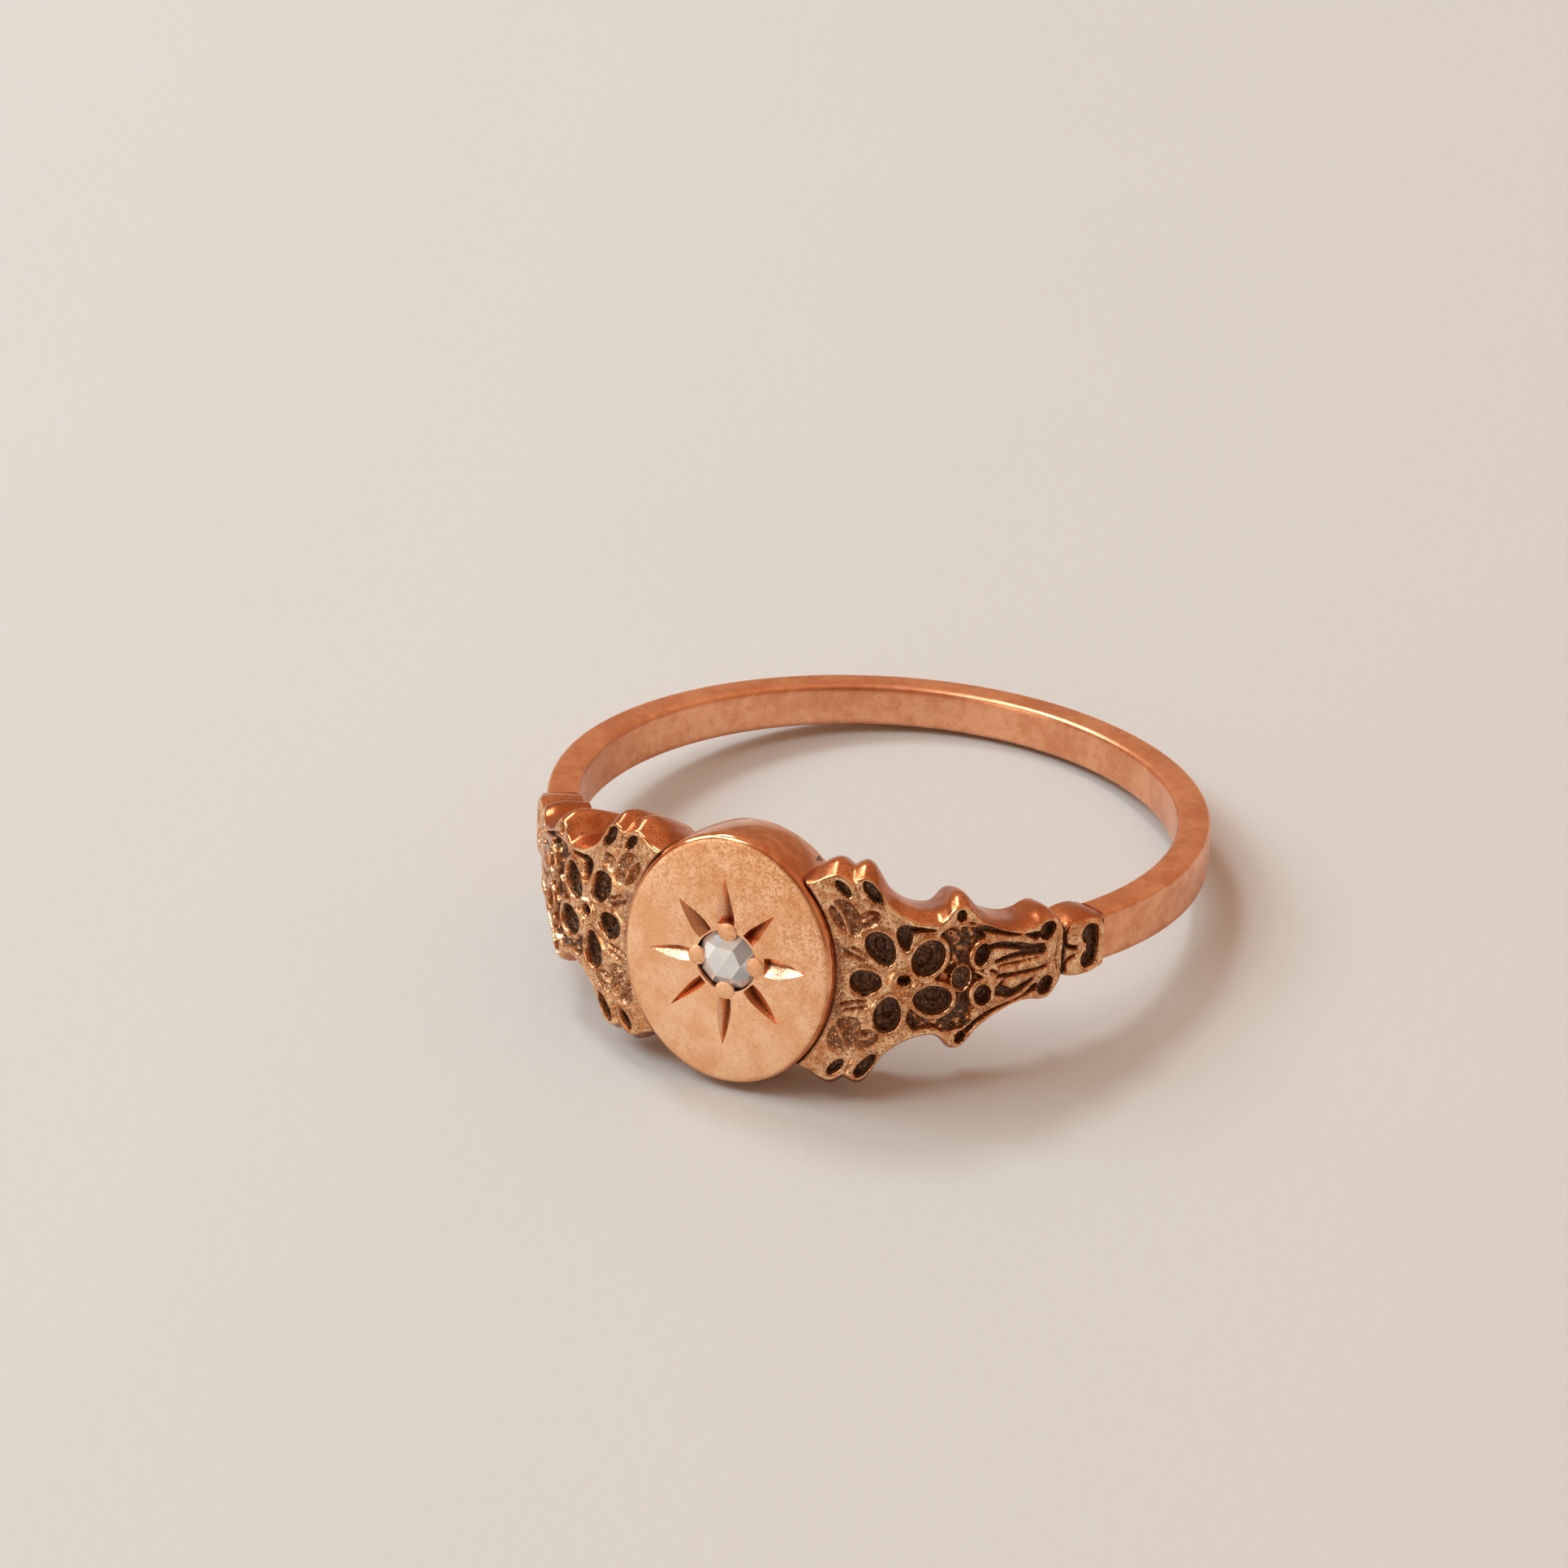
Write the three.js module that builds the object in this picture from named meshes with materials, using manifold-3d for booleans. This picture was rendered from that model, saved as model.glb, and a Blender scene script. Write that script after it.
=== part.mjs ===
// A lady's signet ring in rose gold: an oval table with an eight-ray star cut round one rose-cut diamond,
// chased floral shoulders, a collar at the end of each shoulder and a plain tapering shank. Millimetres.
// The ring is drawn in its own frame, finger axis along Z and table towards -Y, and then laid down as it
// rests: on the lower edge of the table and the lower edge of the shank, so it leans back a few degrees.
import * as THREE from "three";
import { mergeVertices } from "three/addons/utils/BufferGeometryUtils.js";
import { ConvexGeometry } from "three/addons/geometries/ConvexGeometry.js";
import Module from "manifold-3d";

const wasm = await Module();
wasm.setup();

// ---- driving dimensions ----
const FINGER_R = 8.65; // a 17.3 mm hole, the usual sample size
const SEAM = 0.02; // width of a soldered or burnished joint
const ARC_STEP = 0.045; // radians between the facets of a hoop surface

const SHANK = { thickness: 1.0, collarWidth: 1.5, backWidth: 1.3, edge: 0.12 };
const TABLE = { halfWidth: 3.15, halfHeight: 3.76, faceY: -10.79, edge: 0.24, backScale: 0.975 };

// The hoop's outline is stated by girth: u is the angle from the table's centre times GIRTH_R, z is
// the height across the band.
const GIRTH_R = 10;
const SHOULDER = { lobeU: 3, lobeR: 10.78, neckU: 9.52, neckR: 9.84 };
const COLLAR = { outerR: 9.87, endU: 11.1 };

// Upper edge of the right shoulder, table to neck: twin lobes, a hollow, a scroll's back, the lyre, its eye.
const SHOULDER_EDGE = [
  [2.0, 2.8], [2.3, 2.9], [2.6, 3.09], [2.85, 3.17], [3.05, 3.1], [3.22, 2.97], [3.4, 3.07], [3.6, 3.12],
  [3.8, 3.0], [4.0, 2.68], [4.2, 2.35], [4.5, 2.06], [4.9, 1.83], [5.3, 1.73], [5.52, 1.74], [5.7, 1.88],
  [5.87, 2.06], [6.07, 2.13], [6.3, 2.02], [6.6, 1.77], [7.0, 1.48], [7.5, 1.24], [8.0, 1.12], [8.4, 1.15],
  [8.75, 1.26], [9.0, 1.26], [9.2, 1.17], [9.38, 0.98], [9.52, 0.78],
];
const COLLAR_EDGE = [
  [9.55, 0.72], [9.8, 0.82], [10.1, 0.87], [10.4, 0.88], [10.65, 0.85], [10.85, 0.79], [11.1, 0.76],
];

// Sunk grounds of the floral panel, upper half and centre line: place, half sizes along and across, lean.
const GROUND_DEPTH = 0.24;
const GROUNDS = [
  { u: 3.7, z: 0, along: 0.36, across: 0.34, lean: 0 },
  { u: 4.66, z: 0, along: 0.16, across: 0.16, lean: 0 },
  { u: 6.12, z: 0, along: 0.3, across: 0.34, lean: 0 },
  { u: 4.16, z: 1.03, along: 0.32, across: 0.5, lean: 0.2 },
  { u: 5.34, z: 0.64, along: 0.42, across: 0.46, lean: 0.2 },
  { u: 3.02, z: 2.7, along: 0.11, across: 0.26, lean: 0.6 },
  { u: 3.76, z: 2.63, along: 0.13, across: 0.34, lean: 0.6 },
  { u: 6.15, z: 1.82, along: 0.11, across: 0.16, lean: 0 },
  { u: 6.75, z: 0.64, along: 0.18, across: 0.26, lean: 0 },
  { u: 8.88, z: 0.84, along: 0.22, across: 0.22, lean: 0 },
];
const COLLAR_GROUND = { u: 10.46, z: 0, along: 0.27, across: 0.6, lean: 0 };

const STONE = { radius: 0.9, girdle: 0.08, crown: 0.46, facets: 6, sink: 0.24 };
const FOIL_THICKNESS = 0.06;
const SEAT = { radius: STONE.radius + SEAM, depth: STONE.sink + FOIL_THICKNESS + 2 * SEAM };
const GRAIN = { radius: 0.26, orbit: 0.9 };
const RAY = { width: 0.56, depth: 0.27, straight: [1.18, 2.5], diagonal: [1.0, 2.2] };

const FINISH = {
  polished: new THREE.MeshStandardMaterial({ color: 0xc98258, roughness: 0.25, metalness: 1 }),
  satin: new THREE.MeshStandardMaterial({ color: 0xd69d74, roughness: 0.45, metalness: 1 }),
  oxidised: new THREE.MeshStandardMaterial({ color: 0xb87a52, roughness: 0.4, metalness: 1 }),
  diamond: new THREE.MeshStandardMaterial({ color: 0xe6ecf0, roughness: 0.03, metalness: 0 }),
  foil: new THREE.MeshStandardMaterial({ color: 0xdadcdf, roughness: 0.2, metalness: 1 }),
};

// ---- solids ----
function solidOf(geometry) {
  const bare = geometry.clone();
  bare.deleteAttribute("normal");
  bare.deleteAttribute("uv");
  const merged = mergeVertices(bare, 1e-4);
  const mesh = new wasm.Mesh({
    numProp: 3,
    vertProperties: merged.attributes.position.array,
    triVerts: new Uint32Array(merged.index.array),
  });
  return new wasm.Manifold(mesh);
}

function geometryOf(solid) {
  const mesh = solid.getMesh();
  const geometry = new THREE.BufferGeometry();
  geometry.setAttribute("position", new THREE.BufferAttribute(mesh.vertProperties, 3));
  geometry.setIndex(new THREE.BufferAttribute(mesh.triVerts, 1));
  return geometry;
}

const tangentAt = (angle) => new THREE.Vector3(Math.cos(angle), Math.sin(angle), 0);
const radialAt = (angle) => new THREE.Vector3(Math.sin(angle), -Math.cos(angle), 0);
const hoopPoint = (angle, radius) => new THREE.Vector2(radius * Math.sin(angle), -radius * Math.cos(angle));

// A plan sector of the hoop between two angles, from the finger hole out to outerR(angle), as wide as the band.
function hoopSector(from, to, outerR, halfWidth, bevel = 0) {
  const steps = Math.ceil((to - from) / ARC_STEP);
  const angles = Array.from({ length: steps + 1 }, (_, i) => from + ((to - from) * i) / steps);
  const outer = angles.map((a) => hoopPoint(a, outerR(a)));
  const inner = angles.map((a) => hoopPoint(a, FINGER_R)).reverse();
  const sector = new THREE.ExtrudeGeometry(new THREE.Shape([...outer, ...inner]), {
    depth: 2 * (halfWidth - bevel),
    bevelEnabled: bevel > 0,
    bevelThickness: bevel,
    bevelSize: bevel,
    bevelOffset: -bevel,
    bevelSegments: 1,
  });
  return sector.translate(0, 0, bevel - halfWidth);
}

// A straight prism along the hoop's radius at one angle, in the plane of tangent and finger axis.
function radialPrism(shape, angle, nearR, farR) {
  const plain = { depth: farR - nearR, bevelEnabled: false, curveSegments: 10 };
  const prism = new THREE.ExtrudeGeometry(shape, plain);
  const place = new THREE.Matrix4().makeBasis(tangentAt(angle), new THREE.Vector3(0, 0, 1), radialAt(angle));
  return prism.applyMatrix4(place.setPosition(radialAt(angle).multiplyScalar(nearR)));
}

// The shoulder is level over its lobes and then thins faster and faster towards its neck.
function shoulderR(angle) {
  const { lobeU, lobeR, neckU, neckR } = SHOULDER;
  const along = Math.max((angle * GIRTH_R - lobeU) / (neckU - lobeU), 0);
  return lobeR - (lobeR - neckR) * along ** 2;
}

// A band piece whose two long edges follow the stated edge, mirrored about the middle of the band.
function bandPiece(edge, outerR, smoothing) {
  const from = edge[0][0] / GIRTH_R;
  const to = edge.at(-1)[0] / GIRTH_R;
  const middle = (from + to) / 2;
  const onPlane = ([u, z]) => {
    const angle = u / GIRTH_R;
    return new THREE.Vector2(outerR(angle) * Math.sin(angle - middle), z);
  };
  const upper = new THREE.SplineCurve(edge.map(onPlane)).getPoints(smoothing);
  const lower = upper.map((p) => new THREE.Vector2(p.x, -p.y)).reverse();
  const widest = Math.max(...edge.map((p) => p[1])) + 1;
  const sector = hoopSector(from, to, outerR, widest);
  const prism = radialPrism(new THREE.Shape([...lower, ...upper]), middle, FINGER_R * 0.8, outerR(from) + 1);
  return solidOf(sector).intersect(solidOf(prism));
}

function groundCutter({ u, z, along, across, lean }, side, outerR) {
  const angle = u / GIRTH_R;
  const oval = new THREE.Shape();
  oval.absellipse(0, side * z, along, across, 0, 2 * Math.PI, false, side * lean);
  return solidOf(radialPrism(oval, angle, outerR(angle) - GROUND_DEPTH, outerR(angle) + 1));
}

function cutGrounds(solid, grounds, outerR) {
  return grounds.reduce((cut, ground) => {
    const sides = ground.z === 0 ? [1] : [1, -1];
    return sides.reduce((left, side) => left.subtract(groundCutter(ground, side, outerR)), cut);
  }, solid);
}

// ---- the table: an oval block with a soft front edge, hollowed to the finger ----
const FACE_PLANE = new THREE.Matrix4()
  .makeBasis(new THREE.Vector3(1, 0, 0), new THREE.Vector3(0, 0, 1), new THREE.Vector3(0, -1, 0))
  .setPosition(0, TABLE.faceY, 0);

// Drawn on the face: x across, y up the finger axis, z out of the face.
const onFace = (geometry) => geometry.applyMatrix4(FACE_PLANE);

function tableBlock(grow = 0) {
  const oval = new THREE.Shape();
  oval.absellipse(0, 0, TABLE.halfWidth + grow, TABLE.halfHeight + grow, 0, 2 * Math.PI);
  const depth = -TABLE.faceY - FINGER_R * 0.85;
  const block = new THREE.ExtrudeGeometry(oval, {
    depth: depth - 2 * TABLE.edge,
    curveSegments: 36,
    bevelThickness: TABLE.edge,
    bevelSize: TABLE.edge,
    bevelOffset: -TABLE.edge,
    bevelSegments: 3,
  });
  block.translate(0, 0, TABLE.edge - depth);
  const at = block.attributes.position;
  for (let i = 0; i < at.count; i++) {
    const scale = THREE.MathUtils.mapLinear(at.getZ(i), 0, TABLE.faceY + FINGER_R, 1, TABLE.backScale);
    at.setX(i, at.getX(i) * scale);
    at.setY(i, at.getY(i) * scale);
  }
  return onFace(block);
}

function rayCutter(angle, [from, to]) {
  const wedge = new THREE.ConeGeometry(1, to - from, 4);
  wedge.translate(0, (from + to) / 2, 0);
  wedge.scale(RAY.width / 2, 1, RAY.depth);
  return solidOf(onFace(wedge.rotateZ(angle)));
}

const fingerBore = new THREE.CylinderGeometry(FINGER_R, FINGER_R, 20, 144).rotateX(Math.PI / 2);
const seatBore = new THREE.CylinderGeometry(SEAT.radius, SEAT.radius, 2 * SEAT.depth, 48).rotateX(Math.PI / 2);

let table = solidOf(tableBlock()).subtract(solidOf(fingerBore)).subtract(solidOf(onFace(seatBore)));
for (let i = 0; i < 8; i++) {
  table = table.subtract(rayCutter((i * Math.PI) / 4, i % 2 ? RAY.diagonal : RAY.straight));
}

// ---- shoulders, collars and shank ----
const shoulder = cutGrounds(bandPiece(SHOULDER_EDGE, shoulderR, 84), GROUNDS, shoulderR)
  .subtract(solidOf(tableBlock(SEAM)));
const collarR = () => COLLAR.outerR;
const collar = cutGrounds(bandPiece(COLLAR_EDGE, collarR, 24), [COLLAR_GROUND], collarR);

function shankHoop() {
  const end = COLLAR.endU / GIRTH_R + SEAM / FINGER_R;
  const hidden = 0.1; // the bevelled sector starts this much early, and the cut squares its ends
  const outerR = () => FINGER_R + SHANK.thickness;
  const hoop = hoopSector(end - hidden, 2 * Math.PI - end + hidden, outerR, SHANK.collarWidth / 2, SHANK.edge);
  const at = hoop.attributes.position;
  for (let i = 0; i < at.count; i++) {
    const towardsBack = THREE.MathUtils.clamp(at.getY(i) / FINGER_R, 0, 1);
    const width = THREE.MathUtils.lerp(SHANK.collarWidth, SHANK.backWidth, towardsBack);
    at.setZ(i, (at.getZ(i) * width) / SHANK.collarWidth);
  }
  const reach = 2 * FINGER_R;
  const front = new THREE.Shape([new THREE.Vector2(0, 0), hoopPoint(-end, reach), hoopPoint(end, reach)]);
  const wedge = new THREE.ExtrudeGeometry(front, { depth: 6, bevelEnabled: false }).translate(0, 0, -3);
  return solidOf(hoop).subtract(solidOf(wedge));
}

// ---- the stone, its foil and the four grains that hold it ----
function ringOfPoints(count, radius, height, turn = 0) {
  return Array.from({ length: count }, (_, i) => {
    const angle = turn + (2 * Math.PI * i) / count;
    return new THREE.Vector3(radius * Math.cos(angle), radius * Math.sin(angle), height);
  });
}

// Rose cut: flat back, a thin girdle, a ring of crown facets and a low six-sided peak.
function roseCut(grow = 0) {
  const { facets, girdle, crown, sink } = STONE;
  const radius = STONE.radius + grow;
  const points = [
    ...ringOfPoints(2 * facets, radius, -grow),
    ...ringOfPoints(2 * facets, radius, girdle + grow),
    ...ringOfPoints(facets, 0.56 * radius, girdle + 0.72 * crown + grow, Math.PI / facets),
    new THREE.Vector3(0, 0, girdle + crown + grow),
  ];
  return onFace(new ConvexGeometry(points).translate(0, 0, -sink));
}

const foil = new THREE.CylinderGeometry(STONE.radius, STONE.radius, FOIL_THICKNESS, 32)
  .rotateX(Math.PI / 2)
  .translate(0, 0, -STONE.sink - SEAM - FOIL_THICKNESS / 2);

const GRAIN_PLACES = { top: 1, left: 2, bottom: 3, right: 0 };

function grain(quarter) {
  const angle = (quarter * Math.PI) / 2;
  const ball = new THREE.SphereGeometry(GRAIN.radius, 16, 12);
  ball.translate(GRAIN.orbit * Math.cos(angle), GRAIN.orbit * Math.sin(angle), 0.02);
  const above = new THREE.BoxGeometry(4, 4, 2).translate(0, 0, 1 + SEAM / 2);
  return solidOf(onFace(ball)).intersect(solidOf(onFace(above))).subtract(solidOf(roseCut(SEAM / 2)));
}

// ---- assembly ----
const ring = new THREE.Group();

function add(name, geometry, material) {
  const mesh = new THREE.Mesh(geometry, material);
  mesh.name = name;
  ring.add(mesh);
  return mesh;
}

add("shank", geometryOf(shankHoop()), FINISH.polished);
for (const [side, mirror] of [["right", 1], ["left", -1]]) {
  add(`shoulder_${side}`, geometryOf(shoulder), FINISH.oxidised).scale.x = mirror;
  add(`collar_${side}`, geometryOf(collar), FINISH.oxidised).scale.x = mirror;
}
add("signet_table", geometryOf(table), FINISH.satin);
add("stone_foil", onFace(foil), FINISH.foil);
add("diamond", roseCut(), FINISH.diamond);
for (const [place, quarter] of Object.entries(GRAIN_PLACES)) {
  add(`grain_${place}`, geometryOf(grain(quarter)), FINISH.satin);
}

// Laid down: the table's lower inner edge and the back of the shank touch the surface.
const restLean = Math.atan2(
  TABLE.halfHeight * TABLE.backScale - SHANK.backWidth / 2,
  2 * FINGER_R + SHANK.thickness,
);
ring.rotation.x = -restLean;
const lying = new THREE.Box3().setFromObject(ring, true);
ring.position.set(0, -(lying.min.y + lying.max.y) / 2, -lying.min.z);

const part = new THREE.Group();
part.add(ring);
export default part;
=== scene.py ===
import math
import bmesh
import bpy
import numpy as np
from mathutils import Matrix, Vector, noise


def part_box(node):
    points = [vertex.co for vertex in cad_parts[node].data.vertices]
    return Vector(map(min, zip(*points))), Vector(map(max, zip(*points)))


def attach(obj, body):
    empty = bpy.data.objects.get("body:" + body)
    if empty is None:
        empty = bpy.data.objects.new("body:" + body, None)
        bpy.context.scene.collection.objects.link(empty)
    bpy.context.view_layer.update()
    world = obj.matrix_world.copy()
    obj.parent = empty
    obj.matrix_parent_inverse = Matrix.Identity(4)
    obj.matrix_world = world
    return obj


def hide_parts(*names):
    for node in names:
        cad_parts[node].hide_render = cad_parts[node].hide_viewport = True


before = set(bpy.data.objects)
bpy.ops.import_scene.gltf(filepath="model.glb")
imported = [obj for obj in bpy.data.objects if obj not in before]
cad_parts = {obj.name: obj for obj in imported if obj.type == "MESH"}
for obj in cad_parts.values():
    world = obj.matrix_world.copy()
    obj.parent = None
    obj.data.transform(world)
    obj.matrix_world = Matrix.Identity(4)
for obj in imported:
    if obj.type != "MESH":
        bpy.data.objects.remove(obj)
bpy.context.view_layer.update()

# ---- how the ring lies ----
# The ring is drawn in its own frame in millimetres: finger axis along Z, table towards -Y, middle of the
# hoop at zero. It lies on the lower edge of its table and the lower edge of its shank, and so leans back.
FINGER_R = 8.65
SHANK_THICK, SHANK_FRONT_WIDE, SHANK_BACK_WIDE = 1.0, 1.5, 1.3
TABLE_WIDE, TABLE_HIGH, TABLE_FACE, TABLE_TAPER = 3.15, 3.76, 10.79, 0.975
STONE_SINK, FOIL_THICK, SEAM = 0.24, 0.06, 0.02
lean = math.atan2(TABLE_HIGH * TABLE_TAPER - SHANK_BACK_WIDE / 2, 2 * FINGER_R + SHANK_THICK)
turned = Matrix.Rotation(-lean, 4, "X") @ Matrix.Scale(0.001, 4)
foil_middle = Vector((0, -(TABLE_FACE - STONE_SINK - SEAM - FOIL_THICK / 2), 0))
foil_low, foil_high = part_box("stone_foil")
lay_down = Matrix.Translation((foil_low + foil_high) / 2 - turned @ foil_middle) @ turned


def finished(name, bm, *finishes, sharp=38):
    """Turns a piece drawn in the ring's frame into an object that lies with the ring."""
    bmesh.ops.transform(bm, matrix=lay_down, verts=bm.verts)
    for edge in bm.edges:
        one_finish = len({face.material_index for face in edge.link_faces}) == 1
        edge.smooth = one_finish and edge.calc_face_angle(0) < math.radians(sharp)
    for face in bm.faces:
        face.smooth = True
    mesh = bpy.data.meshes.new(name)
    bm.to_mesh(mesh)
    bm.free()
    for finish in finishes:
        mesh.materials.append(finish)
    piece = bpy.data.objects.new(name, mesh)
    bpy.context.scene.collection.objects.link(piece)
    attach(piece, "root")
    return piece


# ---- camera, table top and studio light ----
# A long lens looks down at the table from its right, over pale paper. A wide window lamp stands on the left
# with a small bright pane behind it, one lamp hangs overhead and a low reflector stands in front. The room
# is warm, and darker on the viewer's side.
SIDE, ABOVE, ROLL = (math.radians(a) for a in (22.66, 23.59, 2.6))
AIM = Vector((-2.135, -2.1, 1.558))
AWAY = 187.3
eye = bpy.data.cameras.new("eye")
eye.sensor_width = 36
eye.lens = 149.3
eye.clip_start, eye.clip_end = 0.01, 10
camera = bpy.data.objects.new("eye", eye)
bpy.context.scene.collection.objects.link(camera)
view_turn = Matrix.Rotation(SIDE, 4, "Z") @ Matrix.Rotation(math.pi / 2 - ABOVE, 4, "X")
view_turn = view_turn @ Matrix.Rotation(ROLL, 4, "Z")
back_of_view = view_turn @ Vector((0, 0, 1))
seat = Matrix.Translation(AIM + AWAY * back_of_view) @ view_turn
camera.matrix_world = lay_down @ seat @ Matrix.Scale(1000, 4)
bpy.context.scene.camera = camera


class Tone:
    """A socket of a node tree, so that a finish can be written as an expression."""

    def __init__(self, tree, output):
        self.tree = tree
        self.output = output

    def add(self, kind, settings=None, inputs=None, output=0):
        node = self.tree.nodes.new(kind)
        for key, value in (settings or {}).items():
            setattr(node, key, value)
        for key, value in (inputs or {}).items():
            if isinstance(value, Tone):
                self.tree.links.new(value.output, node.inputs[key])
            else:
                node.inputs[key].default_value = value
        return Tone(self.tree, node.outputs[output])

    def math(self, operation, *values):
        return self.add("ShaderNodeMath", {"operation": operation}, dict(enumerate(values)))

    def __add__(self, other):
        return self.math("ADD", self, other)

    def __sub__(self, other):
        return self.math("SUBTRACT", self, other)

    def __rsub__(self, other):
        return self.math("SUBTRACT", other, self)

    def __mul__(self, other):
        return self.math("MULTIPLY", self, other)

    __radd__ = __add__
    __rmul__ = __mul__

    def step(self, low, high):
        """0 below low, 1 above high and smooth between."""
        inputs = {"Value": self, "From Min": low, "From Max": high}
        return self.add("ShaderNodeMapRange", {"interpolation_type": "SMOOTHSTEP"}, inputs)

    def blend(self, first, second):
        """A colour that goes from first to second as this value goes from 0 to 1."""
        inputs = {"Factor": self, 6: first, 7: second}
        return self.add("ShaderNodeMix", {"data_type": "RGBA"}, inputs, output=2)

    def part(self, axis):
        """One number of a place or a direction: 0 is X, 1 is Y, 2 is Z."""
        return self.add("ShaderNodeSeparateXYZ", {}, {"Vector": self}, output=axis)

    def noise(self, size_mm, detail=2.0, rough=0.5):
        """Cloudy noise with lumps of that size, on coordinates in metres."""
        inputs = {"Vector": self, "Scale": 1000 / size_mm, "Detail": detail, "Roughness": rough}
        return self.add("ShaderNodeTexNoise", {}, inputs)

    def bump(self, height_mm):
        inputs = {"Height": self, "Distance": height_mm / 1000, "Strength": 1.0}
        return self.add("ShaderNodeBump", {}, inputs)


def new_finish(name):
    """An empty material, and the object coordinates that its finish is worked out on."""
    material = bpy.data.materials.new(name)
    material.use_nodes = True
    material.node_tree.nodes.clear()
    start = Tone(material.node_tree, None)
    return material, start.add("ShaderNodeTexCoord", output=3)


def coat(where, **inputs):
    """The surface shader at the end of a material; where is any tone of its tree."""
    named = {key.replace("_", " "): value for key, value in inputs.items()}
    shader = where.add("ShaderNodeBsdfPrincipled", {}, named)
    out = where.tree.nodes.new("ShaderNodeOutputMaterial")
    where.tree.links.new(shader.output, out.inputs["Surface"])


def attribute(where, name):
    return where.add("ShaderNodeAttribute", {"attribute_name": name}, output=2)


paper, spot = new_finish("pale_paper")
coat(
    spot,
    Base_Color=spot.noise(12.0).blend((0.61, 0.61, 0.6, 1), (0.627, 0.627, 0.617, 1)),
    Roughness=0.75,
    Normal=spot.noise(0.5, detail=3.0).bump(0.02),
)
bm = bmesh.new()
bmesh.ops.create_grid(bm, x_segments=1, y_segments=1, size=0.6)
mesh = bpy.data.meshes.new("table_top")
bm.to_mesh(mesh)
bm.free()
mesh.materials.append(paper)
table_top = bpy.data.objects.new("table_top", mesh)
bpy.context.scene.collection.objects.link(table_top)


def soft_light(name, place, size, watts, colour):
    """A square lamp at a place in metres, facing the ring."""
    lamp = bpy.data.lights.new(name, "AREA")
    lamp.size = size
    lamp.energy = watts
    lamp.color = colour
    holder = bpy.data.objects.new(name, lamp)
    bpy.context.scene.collection.objects.link(holder)
    holder.location = place
    holder.rotation_euler = (-Vector(place)).to_track_quat("-Z", "Y").to_euler()


soft_light("window", (-0.35, -0.07, 0.33), 0.24, 0.95, (0.72, 0.93, 1))
soft_light("window_pane", (-0.2, 0.13, 0.36), 0.09, 0.5, (0.85, 0.96, 1))
soft_light("ceiling", (-0.17, -0.2, 0.44), 0.2, 0.55, (0.82, 0.96, 1))
soft_light("reflector", (-0.3, -0.55, 0.1), 0.3, 0.7, (1, 0.93, 0.84))
world = bpy.data.worlds.new("studio")
world.use_nodes = True
heading = Tone(world.node_tree, None).add("ShaderNodeTexCoord")
walls = heading.part(2).step(0.0, 0.9).blend((0.55, 0.34, 0.21, 1), (0.74, 0.47, 0.33, 1))
room = heading.part(1).step(-0.9, 0.0).blend((0.34, 0.21, 0.13, 1), walls)
world.node_tree.links.new(room.output, world.node_tree.nodes["Background"].inputs["Color"])
bpy.context.scene.world = world
bpy.context.scene.view_settings.view_transform = "Standard"

# ---- shank ----
# The plain hoop: rose gold of nearly square section with softened corners, a little narrower towards the
# back and soldered to a collar at each end.
COLLAR_END = 11.1
GIRTH_R = 10
shank_end = COLLAR_END / GIRTH_R + SEAM / FINGER_R


def rose_gold(name, deep, light, dull):
    """Satin rose gold: slow clouds of tarnish and a few freckles on a rubbed surface."""
    material, at = new_finish(name)
    clouds = at.noise(1.5, detail=3.0)
    rubbed = at.noise(0.32, detail=2.0)
    freckles = at.noise(0.07, detail=2.0, rough=0.6)
    tone = (clouds * 0.6 + rubbed * 0.4).step(0.38, 0.62)
    coat(
        at,
        Base_Color=(freckles.step(0.55, 0.75) * 0.45).blend(tone.blend(deep, light), (0.42, 0.17, 0.08, 1)),
        Metallic=1.0,
        Roughness=clouds * 0.1 + freckles * 0.08 + dull,
        Normal=(rubbed * 0.75 + freckles * 0.25).bump(0.004),
    )
    return material


bm = bmesh.new()
bmesh.ops.create_circle(bm, segments=72, radius=1)
for vert in bm.verts:
    across, along = (math.copysign(abs(v) ** 0.28, v) for v in (vert.co.x, vert.co.y))
    middle = FINGER_R + SHANK_THICK / 2
    vert.co = (middle + across * SHANK_THICK / 2, 0, along * SHANK_FRONT_WIDE / 2)
bmesh.ops.rotate(bm, verts=bm.verts, matrix=Matrix.Rotation(shank_end - math.pi / 2, 3, "Z"))
bmesh.ops.spin(
    bm,
    geom=bm.verts[:] + bm.edges[:],
    axis=(0, 0, 1),
    cent=(0, 0, 0),
    angle=2 * (math.pi - shank_end),
    steps=260,
)
for vert in bm.verts:
    towards_back = min(max(vert.co.y / FINGER_R, 0), 1)
    vert.co.z *= 1 + (SHANK_BACK_WIDE / SHANK_FRONT_WIDE - 1) * towards_back
bmesh.ops.holes_fill(bm, edges=[e for e in bm.edges if e.is_boundary], sides=0)
bmesh.ops.recalc_face_normals(bm, faces=bm.faces)
shank_gold = rose_gold("shank_gold", (0.76, 0.32, 0.16, 1), (0.92, 0.46, 0.26, 1), 0.2)
shank = finished("shank_hoop", bm, shank_gold)
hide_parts("shank")

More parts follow.
